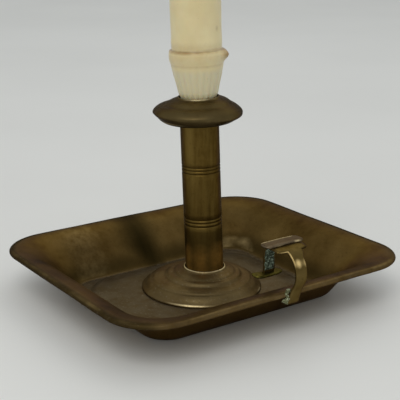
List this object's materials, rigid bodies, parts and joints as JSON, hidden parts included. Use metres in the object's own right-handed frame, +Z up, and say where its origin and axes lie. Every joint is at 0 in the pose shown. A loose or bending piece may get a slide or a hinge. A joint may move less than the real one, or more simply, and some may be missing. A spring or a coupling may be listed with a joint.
{
  "type": "candlestick",
  "caption": "Chamber candlestick: rectangular rolled-rim tray, stepped dome foot, tube stem with push-up ejector, drip pan, strap finger loop and a wax candle.",
  "frame": {"origin": "on the table plane, at the centre of the footprint of tray and handle", "axes": "+Z up, +X towards the strap handle, Y along the tray's long side"},
  "size_m": [0.166, 0.1876, 0.2089],
  "materials": {
    "tray_brass": "aged, dull brown patina",
    "dome_brass": "aged, dull brown patina with worn edges",
    "stem_brass": "aged, satin brown patina",
    "pan_brass": "aged, dull brown patina, bright worn lip",
    "handle_brass": "aged, rubbed bright on the bend, green crust at the joints",
    "inner_brass": "aged satin",
    "wire": "hidden inside the rolled rim",
    "rod_steel": "dull iron wire",
    "wax": "cream wax, slightly translucent",
    "wick": "charred cotton"
  },
  "bodies": {
    "holder": {"tray": "tray_brass", "rim_wire": "wire", "base_dome": "dome_brass", "stem_tube": "stem_brass", "drip_pan": "pan_brass", "guide_disc": "inner_brass", "handle_strap": "handle_brass", "thumb_plate": "handle_brass"},
    "ejector": {"ejector_rod": "rod_steel", "ejector_plate": "inner_brass", "ejector_button": "inner_brass"},
    "candle": {"candle": "wax", "wick": "wick"}
  },
  "joints": [
    {"name": "ejector_slide", "type": "slide", "parent": "holder", "child": "ejector", "axis": [-0.0198, -0.0281, 0.9994], "range_m": [0, 0.016]},
    {"name": "candle_lift", "type": "slide", "parent": "ejector", "child": "candle", "axis": [-0.0198, -0.0281, 0.9994], "range_m": [0, 0.06]}
  ]
}
